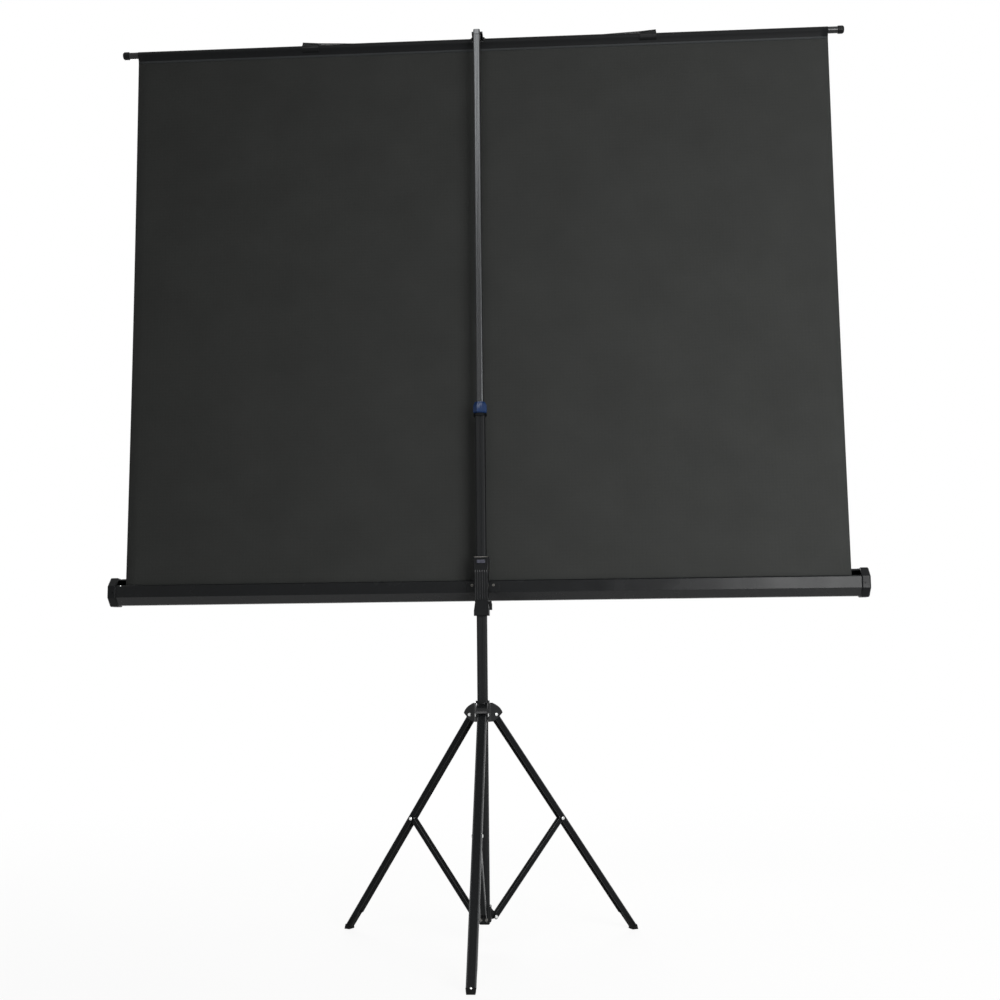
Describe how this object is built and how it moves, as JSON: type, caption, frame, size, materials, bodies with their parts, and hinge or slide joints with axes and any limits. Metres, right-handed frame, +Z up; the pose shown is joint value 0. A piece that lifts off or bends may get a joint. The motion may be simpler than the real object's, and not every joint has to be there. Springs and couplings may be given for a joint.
{
  "type": "tripod projection screen",
  "caption": "Portable projection screen from behind: spring-roller case and black-backed fabric pulled up a telescopic mast on a folding tripod base.",
  "frame": {"origin": "floor level, under the middle of the bounding box; the mast stands 119.1 mm toward +Y of it", "axes": "+Z up along the mast, +X along the case toward the right of the picture, +Y from the mast toward the viewing side of the screen"},
  "size_m": [2.213, 0.761, 2.6778],
  "materials": {
    "black_paint": "satin powder coat",
    "grey_paint": "satin",
    "black_plastic": "moulded",
    "blue_plastic": "glossy",
    "bright_steel": "bright",
    "dark_steel": "dark",
    "black_cloth": "matt black backing",
    "rubber": "matt"
  },
  "bodies": {
    "mast": {"mast_tube": "black_paint", "mast_foot_plug": "black_plastic", "guide_bush": "black_plastic", "collar_rim": "black_plastic", "lower_bracket": "black_plastic"},
    "lock_collar": {"lock_collar": "blue_plastic"},
    "hub": {"tripod_hub": "black_plastic", "hub_ring": "black_plastic"},
    "carriage": {"carriage_body": "black_plastic"},
    "release_button": {"release_button": "blue_plastic"},
    "latch_lever": {"latch_lever": "black_plastic"},
    "extension": {"extension_tube": "grey_paint", "extension_shoe": "black_plastic", "mast_head": "grey_paint"},
    "case": {"case_shell": "black_paint", "end_cap_left": "black_plastic", "end_cap_right": "black_plastic", "pivot_plate": "black_paint", "pivot_bolt": "bright_steel", "roller_axle_left": "bright_steel", "roller_axle_right": "bright_steel", "screen_fabric": "black_cloth"},
    "roller": {"roller_tube": "dark_steel", "roller_plug_left": "black_plastic", "roller_plug_right": "black_plastic", "roller_spring": "bright_steel", "fabric_roll": "black_cloth"},
    "batten": {"batten_tube": "black_paint", "batten_cap_left": "black_plastic", "batten_cap_right": "black_plastic", "strap_clip_left": "black_plastic", "strap_clip_right": "black_plastic", "carry_strap": "rubber", "hanger_plate": "dark_steel"},
    "leg_front": {"leg_front": "black_paint", "leg_foot_front": "rubber", "leg_pin_front": "bright_steel", "brace_pin_front": "bright_steel"},
    "brace_front": {"brace_front": "black_paint", "brace_foot_pin_front": "bright_steel"},
    "leg_right": {"leg_right": "black_paint", "leg_foot_right": "rubber", "leg_pin_right": "bright_steel", "brace_pin_right": "bright_steel"},
    "brace_right": {"brace_right": "black_paint", "brace_foot_pin_right": "bright_steel"},
    "leg_left": {"leg_left": "black_paint", "leg_foot_left": "rubber", "leg_pin_left": "bright_steel", "brace_pin_left": "bright_steel"},
    "brace_left": {"brace_left": "black_paint", "brace_foot_pin_left": "bright_steel"}
  },
  "joints": [
    {"name": "hub_slide", "type": "slide", "parent": "mast", "child": "hub", "axis": [0, 0, 1], "range_m": [0, 0.14622]},
    {"name": "lock_twist", "type": "hinge", "parent": "mast", "child": "lock_collar", "pos_m": [0, 0.11905, 1.5117], "axis": [0, 0, 1], "range_deg": [0, 60]},
    {"name": "case_height", "type": "slide", "parent": "mast", "child": "carriage", "axis": [0, 0, 1], "range_m": [-0.09, 0.23]},
    {"name": "button_press", "type": "slide", "parent": "carriage", "child": "release_button", "axis": [0, 1, 0], "range_m": [0, 0.0035], "stiffness_N_per_m": 400},
    {"name": "latch_flip", "type": "hinge", "parent": "carriage", "child": "latch_lever", "pos_m": [0.02483, 0.11905, 0.94767], "axis": [0, -1, 0], "range_deg": [0, 25], "stiffness_Nm_per_rad": 0.05},
    {"name": "extension_slide", "type": "slide", "parent": "carriage", "child": "extension", "axis": [0, 0, 1], "range_m": [-0.98, 0]},
    {"name": "case_swing", "type": "hinge", "parent": "carriage", "child": "case", "pos_m": [0, 0.16905, 0.9955], "axis": [0, 1, 0], "range_deg": [0, 60]},
    {"name": "screen_pull", "type": "slide", "parent": "case", "child": "batten", "axis": [0, 0, 1], "range_m": [-0.98, 0], "deforming": ["screen_fabric"]},
    {"name": "roller_spin", "type": "hinge", "parent": "case", "child": "roller", "pos_m": [0, 0.20805, 0.9955], "axis": [1, 0, 0], "range_deg": [0, 1984.59]},
    {"name": "leg_front_fold", "type": "hinge", "parent": "hub", "child": "leg_front", "pos_m": [0, 0.08505, 0.634], "axis": [1, 0, 0], "range_deg": [0, 35.6]},
    {"name": "brace_front_fold", "type": "hinge", "parent": "leg_front", "child": "brace_front", "pos_m": [0, -0.12754, 0.33361], "axis": [-1, 0, 0], "range_deg": [0, 75.84]},
    {"name": "leg_right_fold", "type": "hinge", "parent": "hub", "child": "leg_right", "pos_m": [0.02944, 0.13605, 0.634], "axis": [-0.5, 0.866, 0], "range_deg": [0, 35.6]},
    {"name": "brace_right_fold", "type": "hinge", "parent": "leg_right", "child": "brace_right", "pos_m": [0.21356, 0.24235, 0.33361], "axis": [0.5, -0.866, 0], "range_deg": [0, 75.84]},
    {"name": "leg_left_fold", "type": "hinge", "parent": "hub", "child": "leg_left", "pos_m": [-0.02944, 0.13605, 0.634], "axis": [-0.5, -0.866, 0], "range_deg": [0, 35.6]},
    {"name": "brace_left_fold", "type": "hinge", "parent": "leg_left", "child": "brace_left", "pos_m": [-0.21356, 0.24235, 0.33361], "axis": [0.5, 0.866, 0], "range_deg": [0, 75.84]}
  ],
  "couplings": [
    {"joint": "screen_pull", "follows": "extension_slide", "ratio": 1},
    {"joint": "roller_spin", "follows": "extension_slide", "rad_per_m": -35.336},
    {"joint": "leg_front_fold", "follows": "hub_slide", "rad_per_m": 4.2493},
    {"joint": "brace_front_fold", "follows": "hub_slide", "rad_per_m": 9.0519},
    {"joint": "leg_right_fold", "follows": "hub_slide", "rad_per_m": 4.2493},
    {"joint": "brace_right_fold", "follows": "hub_slide", "rad_per_m": 9.0519},
    {"joint": "leg_left_fold", "follows": "hub_slide", "rad_per_m": 4.2493},
    {"joint": "brace_left_fold", "follows": "hub_slide", "rad_per_m": 9.0519}
  ]
}
